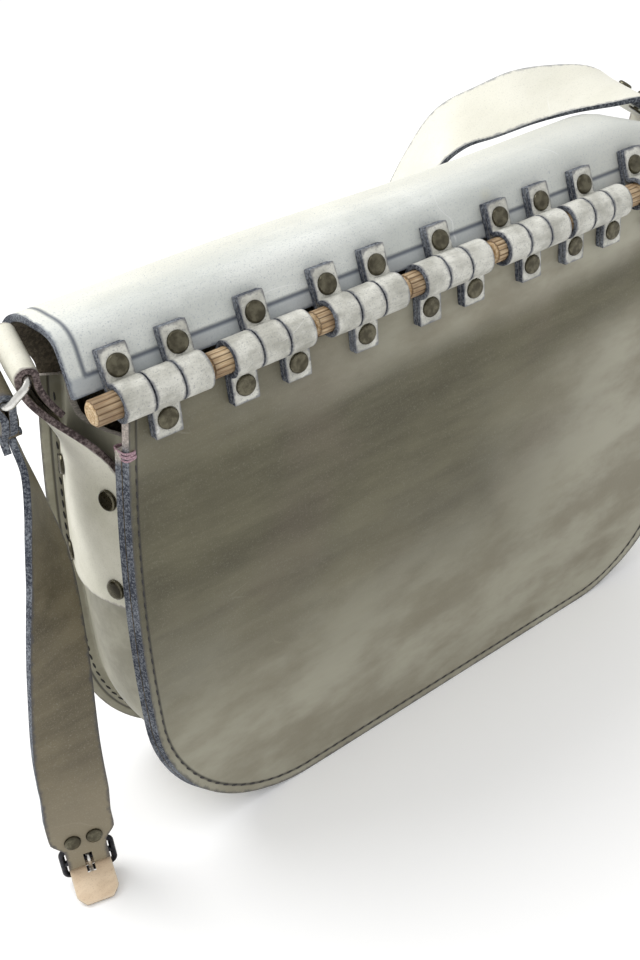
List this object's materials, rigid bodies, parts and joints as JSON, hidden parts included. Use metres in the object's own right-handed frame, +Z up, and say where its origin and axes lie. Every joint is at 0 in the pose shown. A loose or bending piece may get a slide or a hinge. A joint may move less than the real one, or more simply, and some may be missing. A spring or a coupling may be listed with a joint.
{
  "type": "leather shoulder bag with a dowel closure",
  "caption": "Stiff leather shoulder bag with rounded lower corners, a flap closed by wooden dowels through riveted loops, and a strap with a buckle.",
  "frame": {"origin": "middle of the front panel's lower edge, on the plane the bag stands on", "axes": "+X along the closure towards the right of the front, +Y from the front to the back, +Z up"},
  "size_m": [0.4791, 0.1463, 0.3163],
  "materials": {
    "front_leather": "oiled, olive grey",
    "flap_leather": "smooth, pale grey cream",
    "gusset_leather": "smooth, cream",
    "loop_leather": "smooth, pale grey, dark cut edges",
    "strap_leather": "oiled, olive grey",
    "tan_leather": "raw, tan",
    "beech": "bare, fluted",
    "nickel": "bright nickel",
    "dark_brass": "blackened",
    "black_iron": "black"
  },
  "bodies": {
    "bag": {"front_panel": "front_leather", "back_and_flap": "flap_leather", "gusset": "gusset_leather", "anchor_left": "gusset_leather", "anchor_right": "gusset_leather", "anchor_rivet_left_1": "dark_brass", "anchor_rivet_left_2": "dark_brass", "anchor_rivet_left_3": "dark_brass", "anchor_rivet_left_4": "dark_brass", "anchor_rivet_right_1": "dark_brass", "anchor_rivet_right_2": "dark_brass", "anchor_rivet_right_3": "dark_brass", "anchor_rivet_right_4": "dark_brass", "loop_01": "loop_leather", "loop_02": "loop_leather", "loop_03": "loop_leather", "loop_04": "loop_leather", "loop_05": "loop_leather", "loop_06": "loop_leather", "loop_07": "loop_leather", "loop_08": "loop_leather", "loop_09": "loop_leather", "loop_10": "loop_leather", "loop_11": "loop_leather", "loop_12": "loop_leather", "loop_13": "loop_leather", "loop_14": "loop_leather", "loop_15": "loop_leather", "loop_16": "loop_leather", "loop_17": "loop_leather", "loop_18": "loop_leather", "loop_19": "loop_leather", "loop_20": "loop_leather", "loop_21": "loop_leather", "ring_right": "nickel", "long_strap": "strap_leather", "long_strap_rivet_1": "dark_brass", "long_strap_rivet_2": "dark_brass"},
    "dowel_1": {"dowel_1": "beech"},
    "dowel_2": {"dowel_2": "beech"},
    "dowel_3": {"dowel_3": "beech"},
    "dowel_4": {"dowel_4": "beech"},
    "dowel_5": {"dowel_5": "beech"},
    "dowel_6": {"dowel_6": "beech"},
    "dowel_7": {"dowel_7": "beech"},
    "left_ring": {"ring_left": "nickel"},
    "buckle_strap": {"short_strap": "strap_leather", "short_strap_rivet_1": "dark_brass", "short_strap_rivet_2": "dark_brass", "buckle_rivet_1": "dark_brass", "buckle_rivet_2": "dark_brass", "buckle_frame": "black_iron", "buckle_prong": "nickel", "buckle_tongue": "tan_leather"}
  },
  "joints": [
    {"name": "dowel_1_slide", "type": "slide", "parent": "bag", "child": "dowel_1", "axis": [1, 0, 0], "range_m": [-0.054, 0.054]},
    {"name": "dowel_2_slide", "type": "slide", "parent": "bag", "child": "dowel_2", "axis": [1, 0, 0], "range_m": [-0.054, 0.054]},
    {"name": "dowel_3_slide", "type": "slide", "parent": "bag", "child": "dowel_3", "axis": [1, 0, 0], "range_m": [-0.054, 0.054]},
    {"name": "dowel_4_slide", "type": "slide", "parent": "bag", "child": "dowel_4", "axis": [1, 0, 0], "range_m": [-0.054, 0.054]},
    {"name": "dowel_5_slide", "type": "slide", "parent": "bag", "child": "dowel_5", "axis": [1, 0, 0], "range_m": [-0.054, 0.054]},
    {"name": "dowel_6_slide", "type": "slide", "parent": "bag", "child": "dowel_6", "axis": [1, 0, 0], "range_m": [-0.054, 0.054]},
    {"name": "dowel_7_slide", "type": "slide", "parent": "bag", "child": "dowel_7", "axis": [1, 0, 0], "range_m": [-0.054, 0.054]},
    {"name": "left_ring_hinge", "type": "hinge", "parent": "bag", "child": "left_ring", "pos_m": [-0.2042, 0.03545, 0.27875], "axis": [0.1729, 0.9459, 0.2746], "range_deg": [-2, 60]},
    {"name": "buckle_strap_hinge", "type": "hinge", "parent": "left_ring", "child": "buckle_strap", "pos_m": [-0.21499, 0.04033, 0.26875], "axis": [0.1729, 0.9459, 0.2746], "range_deg": [-1.5, 60]}
  ],
  "couplings": [
    {"joint": "dowel_2_slide", "follows": "dowel_1_slide", "ratio": 1},
    {"joint": "dowel_3_slide", "follows": "dowel_1_slide", "ratio": 1},
    {"joint": "dowel_4_slide", "follows": "dowel_1_slide", "ratio": 1},
    {"joint": "dowel_5_slide", "follows": "dowel_1_slide", "ratio": 1},
    {"joint": "dowel_6_slide", "follows": "dowel_1_slide", "ratio": 1},
    {"joint": "dowel_7_slide", "follows": "dowel_1_slide", "ratio": 1}
  ]
}
